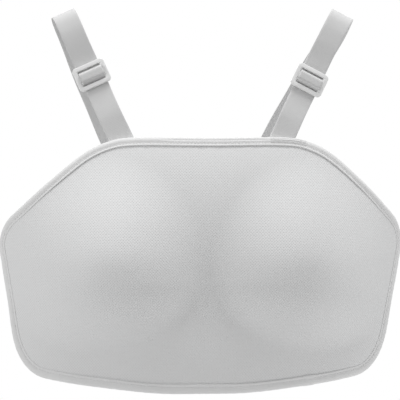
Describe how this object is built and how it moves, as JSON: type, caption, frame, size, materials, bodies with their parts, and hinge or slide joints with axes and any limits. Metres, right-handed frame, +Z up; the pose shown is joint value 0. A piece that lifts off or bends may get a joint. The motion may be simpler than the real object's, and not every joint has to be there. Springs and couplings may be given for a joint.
{
  "type": "fencing plastron",
  "caption": "Padded chest guard with two moulded cups, bound edge, webbing shoulder straps with sliders, and a plain band round the back.",
  "frame": {"origin": "inner face of the guard at the middle of the breastbone, where it lies on the chest", "axes": "+X to the right of a person facing the guard's front, +Y from the guard towards the wearer's back, +Z up"},
  "size_m": [0.4106, 0.2241, 0.383],
  "materials": {
    "guard_cloth": "matt white mesh cloth over foam",
    "binding_tape": "matt white bias tape",
    "webbing": "matt pale grey woven webbing",
    "slider_plastic": "white moulded plastic, satin gloss",
    "band_elastic": "matt white ribbed elastic"
  },
  "bodies": {
    "root": {"chest_panel": "guard_cloth", "edge_binding": "binding_tape", "shoulder_strap_left": "webbing", "shoulder_strap_right": "webbing", "slider_left": "slider_plastic", "slider_right": "slider_plastic", "back_band": "band_elastic"}
  },
  "joints": []
}
